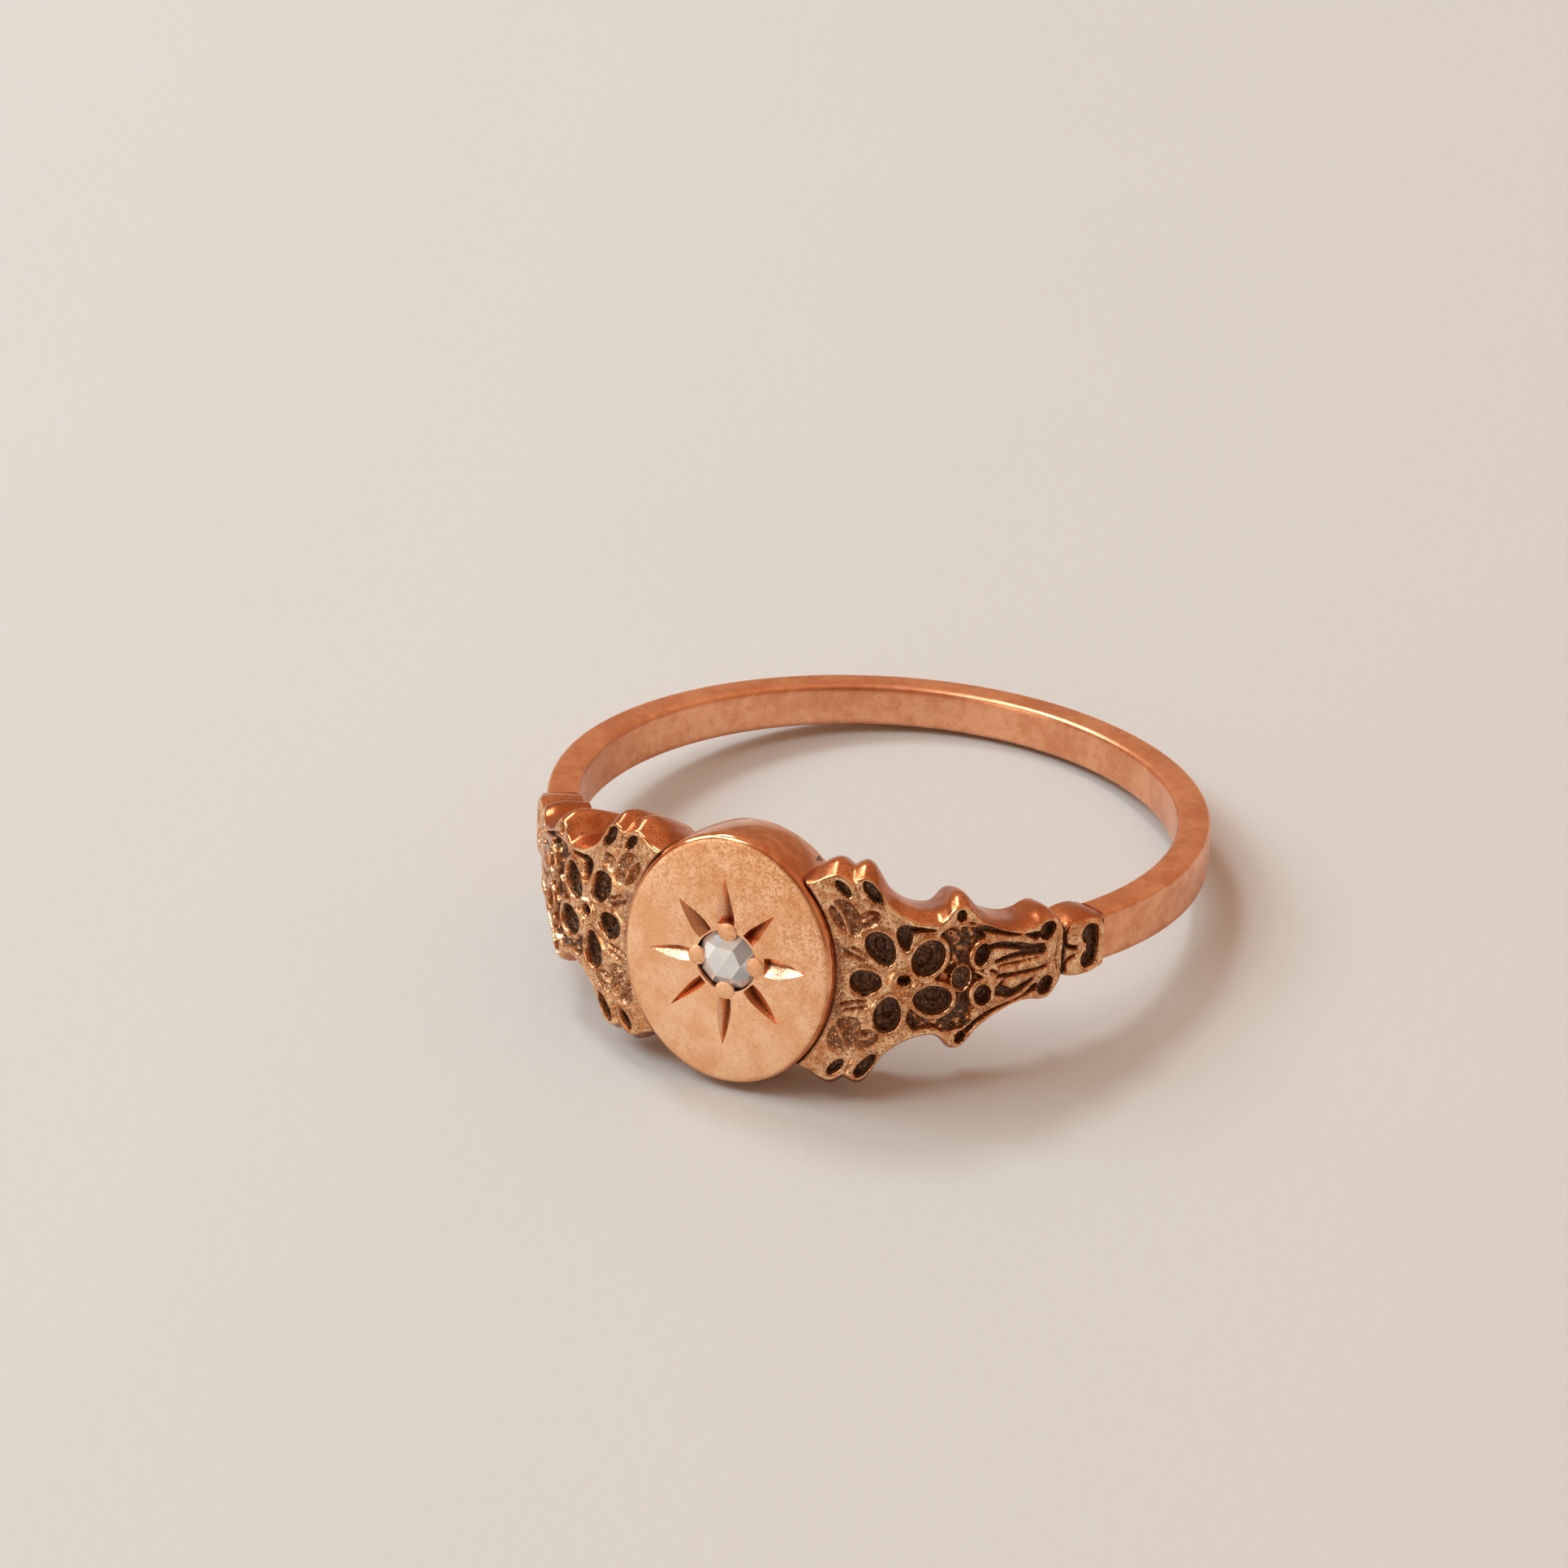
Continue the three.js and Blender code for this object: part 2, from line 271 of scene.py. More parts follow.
# ---- shoulders ----
# Two cast panels, one the mirror of the other: a scalloped plate, thick at the lobes and thin at the neck,
# chased with a five-petal flower, leaves, scrolls and a fluted lyre. The hollows are blackened and the high
# relief is rubbed back to gold.
SHOULDER_EDGE = [
    (1.7, 2.74), (2.0, 2.8), (2.3, 2.9), (2.6, 3.09), (2.85, 3.17), (3.05, 3.1), (3.22, 2.97), (3.4, 3.07),
    (3.6, 3.12), (3.8, 3.0), (4.0, 2.68), (4.2, 2.35), (4.5, 2.06), (4.9, 1.83), (5.3, 1.73), (5.56, 1.75),
    (5.74, 1.88), (5.88, 2.06), (6.08, 2.18), (6.3, 2.14), (6.48, 1.96), (6.68, 1.73), (7.0, 1.48),
    (7.5, 1.24), (8.0, 1.12), (8.4, 1.15), (8.75, 1.26), (9.0, 1.26), (9.2, 1.17), (9.38, 0.98), (9.52, 0.78),
]
SHOULDER_END = 9.52
EDGE_ROUND, END_ROUND = 0.15, 0.07
WALL_SWELL, WALL_TUCK = 0.16, 0.045


def through(points, at):
    """A smooth curve through points (place, value), read at an array of places."""
    x, y = np.array(points).T
    slope = np.gradient(y, x)
    i = np.clip(np.searchsorted(x, at) - 1, 0, len(x) - 2)
    gap = x[i + 1] - x[i]
    t = np.clip((at - x[i]) / gap, 0, 1)
    rise = t * t * (3 - 2 * t)
    return (
        y[i] * (1 - rise) + y[i + 1] * rise
        + gap * (slope[i] * t * (1 - t) ** 2 - slope[i + 1] * t * t * (1 - t))
    )


def oval(u, z, at, half, lean=0.0, taper=0.0):
    """How far outside an oval each place is; lean is in degrees, and taper widens the end it points to."""
    c, s = math.cos(math.radians(lean)), math.sin(math.radians(lean))
    x = (u - at[0]) * c + (z - at[1]) * s
    y = (z - at[1]) * c - (u - at[0]) * s
    wide = half[1] * (1 + taper * np.clip(x / half[0], -1, 1))
    size = np.hypot(x / half[0], y / wide) + 1e-6
    return (np.hypot(x, y) + 1e-6) * (1 - 1 / size)


def stroke(u, z, path, begin, end):
    """How far outside a line each place is; the line's half width goes from begin to end."""
    points = np.array(path, float)
    fine = np.linspace(0, len(points) - 1, 6 * (len(points) - 1) + 1)
    knots = np.arange(len(points))
    line = np.stack([through(np.stack([knots, points[:, k]], 1), fine) for k in (0, 1)], 1)
    nearest = np.full(np.shape(u), 9.0)
    for k in range(len(line) - 1):
        step = line[k + 1] - line[k]
        t = np.clip(((u - line[k, 0]) * step[0] + (z - line[k, 1]) * step[1]) / (step @ step), 0, 1)
        away = np.hypot(u - line[k, 0] - t * step[0], z - line[k, 1] - t * step[1])
        nearest = np.minimum(nearest, away - (begin + (end - begin) * (k + t) / (len(line) - 1)))
    return nearest


def box_field(u, z, low, high, corner=0.1):
    """How far outside a box with round corners each place is."""
    dx = np.abs(u - (low[0] + high[0]) / 2) - (high[0] - low[0]) / 2 + corner
    dz = np.abs(z - (low[1] + high[1]) / 2) - (high[1] - low[1]) / 2 + corner
    return np.hypot(np.maximum(dx, 0), np.maximum(dz, 0)) + np.minimum(np.maximum(dx, dz), 0) - corner


def sunk(away, depth, wall=0.1):
    """The depth of a hollow whose wall leans in over that width."""
    t = np.clip(0.3 - away / wall, 0, 1)
    return depth * t * t * (3 - 2 * t)


def ridge(away, height, wide):
    """A rounded rim along the edge of a hollow."""
    return height * np.exp(-(((away - wide) / wide) ** 2))


def lumps(u, z, size, seed):
    """Cast unevenness from -1 to 1 with lumps of that size."""
    return np.array([noise.noise(Vector((a, b, seed))) for a, b in zip(u / size, z / size)])


def shoulder_relief(u, z, room):
    """Depth below the panel's top, soot and stipple, at girth u and height z, room from the panel's edge."""
    petals = [
        oval(u, z, (3.69, -0.06), (0.39, 0.36), 180, 0.12),
        oval(u, z, (4.05, 0.96), (0.53, 0.33), 117, 0.2),
        oval(u, z, (4.28, -1.04), (0.54, 0.33), -96, 0.12),
        oval(u, z, (5.29, 0.66), (0.54, 0.41), 72, -0.04),
        oval(u, z, (5.45, -0.63), (0.5, 0.42), -12, 0.05),
    ]
    heart = oval(u, z, (4.67, 0), (0.16, 0.16))
    eyes = [oval(u, z, (6.76, 0.6), (0.32, 0.2), 82), oval(u, z, (6.83, -0.64), (0.31, 0.22), -80)]
    bud = oval(u, z, (6.2, -0.04), (0.36, 0.24), 90)
    field = np.minimum(
        box_field(u, z, (5.52, -1.1), (6.84, 1.5), 0.4), box_field(u, z, (4.8, -1.62), (6.5, -0.7), 0.4)
    )
    field = np.maximum(field + 0.06 * lumps(u, z, 0.4, 4.2), 0.26 - room)
    hook = stroke(u, z, [(6.62, 0.1), (6.86, -0.05), (6.98, -0.24), (7.12, -0.4), (7.14, -0.66)], 0.05, 0.1)
    rims = list(zip(petals[1:], (0.15, 0.15, 0.17, 0.17)))
    for standing, rim in rims + [(bud, 0.075), (hook, 0.0)] + [(eye, 0.18) for eye in eyes]:
        field = np.maximum(field, rim - standing)
    hollows = [(petal, 0.27) for petal in petals] + [(eye, 0.26) for eye in eyes] + [
        (heart, 0.3),
        (bud, 0.16),
        (field, 0.22),
        (oval(u, z, (4.64, 1.27), (0.38, 0.18), 98, 0.3), 0.25),
        (stroke(u, z, [(4.65, 1.53), (5.0, 1.52), (5.42, 1.47)], 0.13, 0.03), 0.2),
        (oval(u, z, (6.13, 1.85), (0.19, 0.12), 95), 0.2),
        (oval(u, z, (6.25, -1.86), (0.2, 0.13), 75), 0.2),
        (stroke(u, z, [(6.35, 1.63), (6.62, 1.52)], 0.03, 0.03), 0.1),
        (stroke(u, z, [(6.3, 1.3), (6.8, 1.36), (7.2, 1.21), (7.6, 1.06), (7.95, 0.96)], 0.13, 0.03), 0.18),
        (stroke(
            u, z, [(6.42, -1.68), (6.75, -1.38), (7.2, -1.18), (7.8, -1.04), (8.4, -0.86)], 0.08, 0.04,
        ), 0.18),
        (stroke(u, z, [(6.98, 0.8), (7.3, 0.79), (7.8, 0.66), (8.3, 0.48), (8.7, 0.38)], 0.085, 0.11), 0.2),
        (stroke(u, z, [(7.22, 0.3), (7.6, 0.37), (8.2, 0.35), (8.78, 0.26)], 0.065, 0.1), 0.18),
        (stroke(u, z, [(7.3, 0.13), (7.6, 0.15), (8.6, 0.11)], 0.05, 0.03), 0.1),
        (stroke(u, z, [(7.3, -0.17), (7.9, -0.21), (8.5, -0.24), (8.95, -0.24)], 0.07, 0.05), 0.16),
        (stroke(u, z, [(7.36, -0.62), (7.7, -0.75), (8.1, -0.64), (8.4, -0.52)], 0.16, 0.06), 0.2),
        (stroke(u, z, [(7.42, -0.36), (7.3, -0.52)], 0.05, 0.07), 0.16),
        (stroke(u, z, [(7.08, 0.04), (7.25, -0.06)], 0.06, 0.04), 0.12),
    ]
    for half in (1, -1):
        v = half * z
        hollows += [
            (oval(u, v, (3.01, 2.71), (0.3, 0.12), 128), 0.22),
            (oval(u, v, (3.76, 2.64), (0.4, 0.155), 123), 0.22),
            (stroke(u, v, [(3.23, 3.1), (3.32, 2.8), (3.42, 2.4)], 0.03, 0.01), 0.06),
            (stroke(u, v, [(8.1, 0.93), (8.5, 0.79)], 0.02, 0.12), 0.2),
            (oval(u, v, (8.9, 0.84), (0.28, 0.27)), 0.26),
        ]
    hollows.append((stroke(u, z, [(9.34, -0.42), (9.28, 0.0), (9.34, 0.42)], 0.03, 0.03), 0.1))
    nearest = np.minimum.reduce([away for away, deep in hollows])
    depth = np.maximum.reduce([sunk(away, deep) for away, deep in hollows])
    depth *= 1 - sunk(field, 0.35, 0.05) * (0.4 + lumps(u, z, 0.22, 1.7))
    # This low rim round each hollow also raises the hollow value just outside it, which darkens the colour
    # there: painted shade round the hollows as well as shape.
    depth += 0.03 * np.exp(-np.maximum(nearest, 0) / 0.09)
    rubbed = np.clip(0.2 + 2.2 * lumps(u, z, 0.17, 1.7), 0, 1) * (0.35 + 0.55 * sunk(field, 1.0, 0.05))
    soot = depth * (1 - rubbed)
    dotted = np.zeros_like(u)
    leaves = [
        (oval(u, z, (3.12, 1.84), (0.6, 0.36), 118, 0.15), [(2.7, 2.3), (3.0, 1.95), (3.25, 1.3)]),
        (oval(u, z, (3.7, 1.86), (0.32, 0.24), 35), [(3.4, 1.6), (3.75, 1.95)]),
        (oval(u, z, (3.42, 0.79), (0.38, 0.17), -28), [(3.1, 1.0), (3.7, 0.66)]),
        (oval(u, z, (3.2, -1.68), (0.6, 0.38), -115), [(2.85, -1.2), (3.1, -1.7), (3.3, -2.2)]),
        (
            oval(u, z, (3.74, -1.8), (0.36, 0.28), 35),
            [(2.75, -2.36), (3.2, -2.12), (3.55, -1.85), (3.95, -1.7)],
        ),
        (oval(u, z, (3.42, -0.77), (0.42, 0.17), 8), [(3.05, -0.9), (3.4, -0.78), (3.8, -0.72)]),
    ]
    grit = lumps(u, z, 0.13, 6.4)
    for away, rib in leaves:
        inside = sunk(away, 1.0, 0.12)
        raised = np.exp(-(np.maximum(stroke(u, z, rib, 0.02, 0.02), 0) / 0.05) ** 2)
        depth = np.maximum(depth, inside * (0.17 + 0.1 * grit - 0.2 * raised) - ridge(away, 0.045, 0.06))
        dotted = np.maximum(dotted, inside * (1.0 - 0.7 * raised))
    for away in petals + eyes:
        depth -= ridge(away, 0.05, 0.08)
    for place, half, lean in (
        ((5.22, 0.55), (0.3, 0.2), 60), ((5.5, -0.6), (0.24, 0.19), 0), ((4.02, 0.96), (0.24, 0.14), 110),
        ((4.3, -1.02), (0.26, 0.15), -95), ((3.66, -0.06), (0.17, 0.15), 0),
    ):
        depth += sunk(oval(u, z, place, half, lean), 0.12, 0.07)
    depth -= ridge(oval(u, z, (4.67, 0), (0.26, 0.26)), 0.06, 0.05)
    depth += sunk(np.abs(oval(u, z, (4.67, 0), (0.42, 0.42))) - 0.02, 0.05, 0.08)
    depth += np.clip(depth / 0.2, 0, 1) * 0.055 * lumps(u, z, 0.16, 3.1) + 0.024 * lumps(u, z, 0.45, 8.7)
    strip = box_field(u, z, (2.0, -1.3), (3.2, 1.3), 0.2)
    dotted = np.maximum(dotted, 0.9 * sunk(np.maximum(strip, 0.1 - petals[0]), 1.0, 0.2))
    depth += 0.01 * grit + 0.012 * lumps(u, z, 0.22, 9.9)
    return depth, soot, dotted


def shoulder_radius(u):
    """Level over the lobes, then thinning faster and faster towards the neck."""
    return 10.84 - 1.0 * np.maximum((u - 3) / (SHOULDER_END - 3), 0) ** 2


def chased_panel(side, start, end, edge, radius, relief, columns, rows):
    """A panel of the hoop from girth start(z) to end, as wide as its edge, with its relief and inner face."""
    bm = bmesh.new()
    bmesh.ops.create_grid(bm, x_segments=columns, y_segments=rows, size=1)
    spread = np.array([v.co[:2] for v in bm.verts])
    along = (spread[:, 0] + 1) / 2
    across = spread[:, 1] + 0.32 * np.sin(math.pi * spread[:, 1]) / math.pi
    z = across * 2
    for _ in range(6):
        u = start(z) * (1 - along) + end * along
        z = across * through(edge, u)
    room = through(edge, u) - np.abs(z)
    depth, soot, dotted = relief(u, z, room)
    rounding = np.clip(1 - room / EDGE_ROUND, 0, 1)
    end_rounding = np.clip(1 - np.minimum(u - start(z), end - u) / END_ROUND, 0, 1)
    out = radius(u) - depth * (1 - rounding)
    for amount, size in ((rounding, EDGE_ROUND), (end_rounding, END_ROUND)):
        out -= size * (1 - np.sqrt(1 - 0.98 * amount**2))
    # Seam marks the last tenth of a millimetre at each end of the panel, where it meets the next part; the
    # finish paints it black there as painted shade in the joint.
    seam = np.clip(1.2 - np.minimum(u - start(z), 2 * (end - u)) / 0.08, 0, 1)
    layers = [bm.verts.layers.float.new(n) for n in ("hollow", "stipple", "side", "seam")]
    hollow_layer, dotted_layer, side_layer, seam_shade_layer = layers
    places = zip(bm.verts, u / GIRTH_R, out, z, soot, dotted, rounding, seam)
    for vert, angle, r, high, black, dots, rolled, joint_shade in places:
        vert.co = (side * r * math.sin(angle), -r * math.cos(angle), high)
        vert[hollow_layer] = black * (1 - rolled)
        vert[dotted_layer] = dots * (1 - rolled)
        vert[side_layer] = rolled
        vert[seam_shade_layer] = joint_shade
    grown = bmesh.ops.extrude_face_region(bm, geom=bm.faces[:])
    inner = {g for g in grown["geom"] if isinstance(g, bmesh.types.BMVert)}
    for vert in inner:
        vert.co.xy = vert.co.xy.normalized() * FINGER_R
        vert[hollow_layer] = vert[dotted_layer] = 0
        vert[side_layer] = 1
    walls = [e for e in bm.edges if (e.verts[0] in inner) != (e.verts[1] in inner)]
    bmesh.ops.subdivide_edges(bm, edges=walls, cuts=9, use_grid_fill=True)
    for vert in bm.verts:
        if vert[side_layer] > 0.99:
            girth = side * GIRTH_R * math.atan2(vert.co.x, -vert.co.y)
            near_end = np.clip(min(girth - start(vert.co.z), end - girth) / 0.45, 0, 1)
            drop = max(radius(girth) - EDGE_ROUND - vert.co.xy.length, 0)
            swell = WALL_SWELL * near_end * (2 - near_end) * drop * math.exp(1 - drop / 0.5)
            vert.co.z *= 1 + swell - WALL_TUCK * drop**2
    bmesh.ops.recalc_face_normals(bm, faces=bm.faces)
    return bm


def table_side(z):
    """Girth at which the table's oval wall stands, with its seam."""
    half = (TABLE_WIDE + SEAM) * np.sqrt(np.clip(1 - (z / (TABLE_HIGH + SEAM)) ** 2, 0.02, 1)) * 0.995
    return GIRTH_R * np.arctan2(half, TABLE_FACE - 0.25)


def oxidised_gold(name):
    """Rose gold rubbed bright on the high relief, glossy brown-black with gold flecks in the hollows; the
    walls, the panel ends and the rims round the hollows are painted darker as painted shade.
    """
    material, at = new_finish(name)
    hollow = attribute(at, "hollow")
    dots = attribute(at, "stipple")
    seam = attribute(at, "seam")
    rolled = attribute(at, "side")
    side = rolled.step(0.3, 1.0)
    ridge_wear = rolled.step(0.0, 0.3) * (1 - rolled.step(0.6, 1.0))
    clouds = at.noise(1.3, detail=3.0)
    fine = at.noise(0.1, detail=3.0, rough=0.65)
    crumbs = at.noise(0.05, detail=2.0, rough=0.7)
    patches = at.noise(0.24, detail=2.0)
    face_clouds = (clouds * 0.2 + fine * 0.4 + patches * 0.4).step(0.43, 0.55)
    face = face_clouds.blend((0.68, 0.29, 0.125, 1), (1, 0.64, 0.37, 1))
    # The walls get a darker, redder copy of the face's gold: painted shade on the sides of the panels.
    wall = (clouds * 0.6 + fine * 0.4).step(0.42, 0.58).blend((0.5, 0.14, 0.05, 1), (0.78, 0.3, 0.13, 1))
    crust = (crumbs * 0.4 + fine * 0.6).step(0.42, 0.6)
    black = crust.blend((0.022, 0.012, 0.008, 1), (0.24, 0.105, 0.045, 1))
    depth = (hollow + (fine - 0.5) * 0.1).step(0.06, 0.13)
    flecks = (fine * 0.7 + crumbs * 0.3 - hollow * 0.2).step(0.5, 0.55) * 0.8
    speck = dots * (crumbs * 0.6 + fine * 0.4).step(0.44, 0.52)
    # The seam term paints the panel ends black: painted shade where the parts meet.
    dark = at.math("MAXIMUM", at.math("MAXIMUM", depth * (1 - flecks), speck * 0.9), seam)
    # Random brown mottling of dirt, plus painted shade: the hollow term darkens the gold round the hollows.
    grime_and_shade = (fine * 0.7 + crumbs * 0.3 + hollow * 1.2 - ridge_wear * 0.1).step(0.52, 0.58) * 0.9
    coat(
        at,
        Base_Color=dark.blend(grime_and_shade.blend(side.blend(face, wall), (0.3, 0.12, 0.05, 1)), black),
        Metallic=1 - dark * 0.8,
        Roughness=fine * 0.12 + 0.18 - dark * 0.08 - ridge_wear * 0.1,
        Normal=(fine * (0.3 + dark * 1.2) + crumbs * (dots * 0.8 + dark * 0.5)).bump(0.01),
    )
    return material


shoulder_finish = oxidised_gold("shoulder_gold")
for name, side in (("right", 1), ("left", -1)):
    bm = chased_panel(
        side, table_side, SHOULDER_END, SHOULDER_EDGE,
        shoulder_radius, shoulder_relief, 250, 176,
    )
    shoulder = finished(f"shoulder_{name}_panel", bm, shoulder_finish)
    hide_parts(f"shoulder_{name}")

# ---- collars ----
# A short cast end on each side, where shoulder and shank are soldered. A bone-shaped hollow is sunk in its
# face, two curled grooves close its inner end, and it stands a little proud of the shank.
COLLAR_EDGE = [
    (9.5, 0.68), (9.6, 0.75), (9.8, 0.82), (10.1, 0.87), (10.4, 0.88),
    (10.65, 0.85), (10.85, 0.79), (11.0, 0.76), (11.1, 0.69),
]
COLLAR_START = 9.55
COLLAR_R = 9.87


def collar_relief(u, z, _):
    """Depth below the collar's top, soot and stipple."""
    ends = oval(u, np.abs(z), (10.42, 0.38), (0.25, 0.28))
    bone = np.minimum(ends, stroke(u, z, [(10.52, -0.4), (10.56, 0), (10.52, 0.4)], 0.22, 0.22))
    upper_path = [(9.76, 0.72), (9.64, 0.6), (9.6, 0.35), (9.68, 0.14), (9.98, 0.03)]
    upper_curl = stroke(u, z, upper_path, 0.035, 0.06)
    lower_curl = stroke(u, z, [(9.7, -0.72), (9.61, -0.5), (9.68, -0.28), (9.92, -0.2)], 0.045, 0.06)
    hook = stroke(u, z, [(10.1, -0.5), (10.18, -0.64), (10.38, -0.76)], 0.015, 0.02)
    depth = np.maximum(sunk(bone, 0.25), sunk(np.minimum(upper_curl, lower_curl), 0.17, 0.08))
    depth = np.maximum(depth, sunk(hook, 0.08, 0.06))
    # The low rim round the hollows also darkens the colour just outside them through the soot value: painted
    # shade as well as shape.
    depth += 0.03 * np.exp(-np.maximum(np.minimum(bone, upper_curl), 0) / 0.09) - ridge(bone, 0.04, 0.09)
    depth += np.clip(depth / 0.2, 0, 1) * 0.04 * lumps(u, z, 0.18, 5.3) + 0.01 * lumps(u, z, 0.5, 2.2)
    beyond_cap = np.clip(box_field(u, z, (9.0, -0.96), (11.04, 0.96), 0.6) / 0.14 + 0.9, 0, 1)
    return depth + (COLLAR_R - FINGER_R - SHANK_THICK) * beyond_cap**2, depth, 0.3 * beyond_cap


for name, side in (("right", 1), ("left", -1)):
    bm = chased_panel(
        side, lambda z: np.full(np.shape(z), COLLAR_START), COLLAR_END, COLLAR_EDGE,
        lambda u: COLLAR_R + 0 * u, collar_relief, 100, 90,
    )
    collar = finished(f"collar_{name}_cap", bm, shoulder_finish)
    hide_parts(f"collar_{name}")

# ---- table ----
# The oval signet block, solid, with its back cut to the finger's curve. Its face is matt, its front edge is
# rounded over and polished, and eight graver cuts, each a leaf-shaped V that is deepest beside the stone,
# make the star.
TABLE_EDGE, WALL_DRAW = 0.22, 0.06
STONE_R = 0.9
SEAT_DEEP = STONE_SINK + FOIL_THICK + 2 * SEAM
RAY_DEEP = 0.27
RAYS = [
    # tip across, tip up, start, width, keel (1 is the left edge as the cut runs out, -1 the right), fullness
    (-0.15, 2.5, 1.1, 0.66, -0.1, 1.1),
    (1.37, 1.66, 0.98, 0.46, 0.45, 1.2),
    (2.38, 0.12, 1.15, 0.66, 0.1, 1.7),
    (1.65, -1.6, 0.96, 0.5, -0.5, 1.9),
    (-0.01, -2.55, 1.13, 0.44, 0.15, 2.2),
    (-1.62, -1.67, 0.98, 0.32, 0.0, 1.6),
    (-2.32, -0.08, 1.12, 0.46, -0.55, 1.8),
    (-1.51, 1.6, 0.96, 0.56, -0.35, 1.6),
]


def on_face(across, up, out=0.0):
    """A place on the table's face, in the ring's frame."""
    return Vector((across, -(TABLE_FACE + out), up))


FACE_TURN = Matrix(((1, 0, 0, 0), (0, 0, -1, -TABLE_FACE), (0, 1, 0, 0), (0, 0, 0, 1)))


def loose_object(name, bm, *finishes):
    mesh = bpy.data.meshes.new(name)
    bm.to_mesh(mesh)
    bm.free()
    for finish in finishes:
        mesh.materials.append(finish)
    piece = bpy.data.objects.new(name, mesh)
    bpy.context.scene.collection.objects.link(piece)
    return piece


def ray_cutter(tip_across, tip_up, start, width, keel, fullness):
    """One graver cut: a three-sided wedge that is widest beside the stone and runs out to its tip."""
    bm = bmesh.new()
    bmesh.ops.create_cone(bm, cap_ends=True, segments=3, radius1=1, radius2=1, depth=2)
    for vert in bm.verts:
        vert.co.xy = (0, -1) if vert.co.y > 0.5 else (math.copysign(1, vert.co.x), 0)
    runs = [e for e in bm.edges if abs(e.verts[0].co.z - e.verts[1].co.z) > 1]
    bmesh.ops.subdivide_edges(bm, edges=runs, cuts=15, use_grid_fill=True)
    reach = math.hypot(tip_across, tip_up)
    for vert in bm.verts:
        along = (vert.co.z + 1) / 2
        half = width / 2 * (1 - along**fullness) * (0.82 + 0.18 * min(along / 0.25, 1)) + 0.002
        deep = RAY_DEEP * (1 - along**1.6) ** 0.8 + 0.002
        keel_side = keel * half
        if vert.co.y < -0.5:
            place = (keel_side, -deep)
        else:
            place = (keel_side + (vert.co.x * half - keel_side) * 1.4, 0.4 * deep)
        vert.co = (start - 0.05 * place[1] / RAY_DEEP + (reach - start) * along, *place)
    turn = Matrix.Rotation(math.atan2(tip_up, tip_across), 4, "Z")
    bmesh.ops.transform(bm, matrix=FACE_TURN @ turn, verts=bm.verts)
    bmesh.ops.recalc_face_normals(bm, faces=bm.faces)
    return bm


def bore(radius, segments, centre, length, axis):
    bm = bmesh.new()
    bmesh.ops.create_cone(bm, cap_ends=True, segments=segments, radius1=radius, radius2=radius, depth=length)
    turn = Vector((0, 0, 1)).rotation_difference(Vector(axis)).to_matrix().to_4x4()
    bmesh.ops.transform(bm, matrix=Matrix.Translation(centre) @ turn, verts=bm.verts)
    return bm


def cut_away(piece, cutters):
    for cutter in cutters:
        step = piece.modifiers.new("cut", "BOOLEAN")
        step.operation = "DIFFERENCE"
        step.solver = "EXACT"
        step.material_mode = "TRANSFER"
        step.object = cutter
    graph = bpy.context.evaluated_depsgraph_get()
    mesh = bpy.data.meshes.new_from_object(piece.evaluated_get(graph))
    bm = bmesh.new()
    bm.from_mesh(mesh)
    finishes = list(mesh.materials)
    for spent in [piece, *cutters]:
        bpy.data.objects.remove(spent)
    return bm, finishes


def matt_gold(name):
    """Frosted rose gold for the face: clouded, and peppered with fine rust that thickens towards one edge."""
    material, at = new_finish(name)
    pepper = at.noise(0.085, detail=4.0, rough=0.9)
    blush = at.noise(0.9, detail=3.0)
    thick = (at.part(2) * 300 + at.part(0) * 130 + blush * 0.9).step(0.9, 3.6)
    rust = (pepper * 0.8 + at.noise(0.25) * 0.2 + thick * 0.05).step(0.5, 0.58) * (0.35 + thick * 0.65)
    gold = blush.step(0.35, 0.65).blend((0.88, 0.49, 0.27, 1), (0.98, 0.64, 0.4, 1))
    coat(
        at,
        Base_Color=rust.blend(gold, (0.64, 0.25, 0.075, 1)),
        Metallic=1.0,
        Roughness=pepper * 0.12 + 0.38,
        Normal=pepper.bump(0.002),
    )
    return material


def graver_gold(name):
    """Bright-cut rose gold: burnished flanks with tool marks, tarnished brown at the bottom of each cut."""
    material, at = new_finish(name)
    face_out = (lay_down.to_3x3() @ Vector((0, -1, 0))).normalized()
    top = (lay_down @ on_face(0, 0)).dot(face_out)
    below = top - at.add("ShaderNodeVectorMath", {"operation": "DOT_PRODUCT"}, {0: at, 1: face_out}, output=1)
    marks = at.noise(0.06, detail=2.0, rough=0.6)
    tarnish = (below * 4200 + (marks - 0.5) * 0.9).step(0.3, 1.05) * 0.75
    coat(
        at,
        Base_Color=tarnish.blend((0.88, 0.48, 0.29, 1), (0.22, 0.09, 0.045, 1)),
        Metallic=1.0,
        Roughness=marks * 0.12 + 0.1,
        Normal=marks.bump(0.006),
    )
    return material


back_depth = TABLE_FACE - FINGER_R * 0.85
turns = np.linspace(0, math.pi / 2, 11)
depths = np.linspace(TABLE_EDGE + 0.2, back_depth, 14)
profile = [(TABLE_EDGE * (1 - math.sin(a)), TABLE_EDGE * (1 - math.cos(a))) for a in turns]
profile += [(WALL_DRAW * (deep - TABLE_EDGE) ** 2, deep) for deep in depths]
bm = bmesh.new()
bmesh.ops.create_circle(bm, cap_ends=True, segments=192, radius=1)
rim = bm.edges[:]
for row in range(1, len(profile)):
    grown = bmesh.ops.extrude_edge_only(bm, edges=rim)["geom"]
    fresh = [g for g in grown if isinstance(g, bmesh.types.BMVert)]
    bmesh.ops.translate(bm, verts=fresh, vec=(0, 0, -1))
    rim = [e for e in bm.edges if all(round(v.co.z) == -row for v in e.verts)]
bmesh.ops.holes_fill(bm, edges=rim, sides=0)
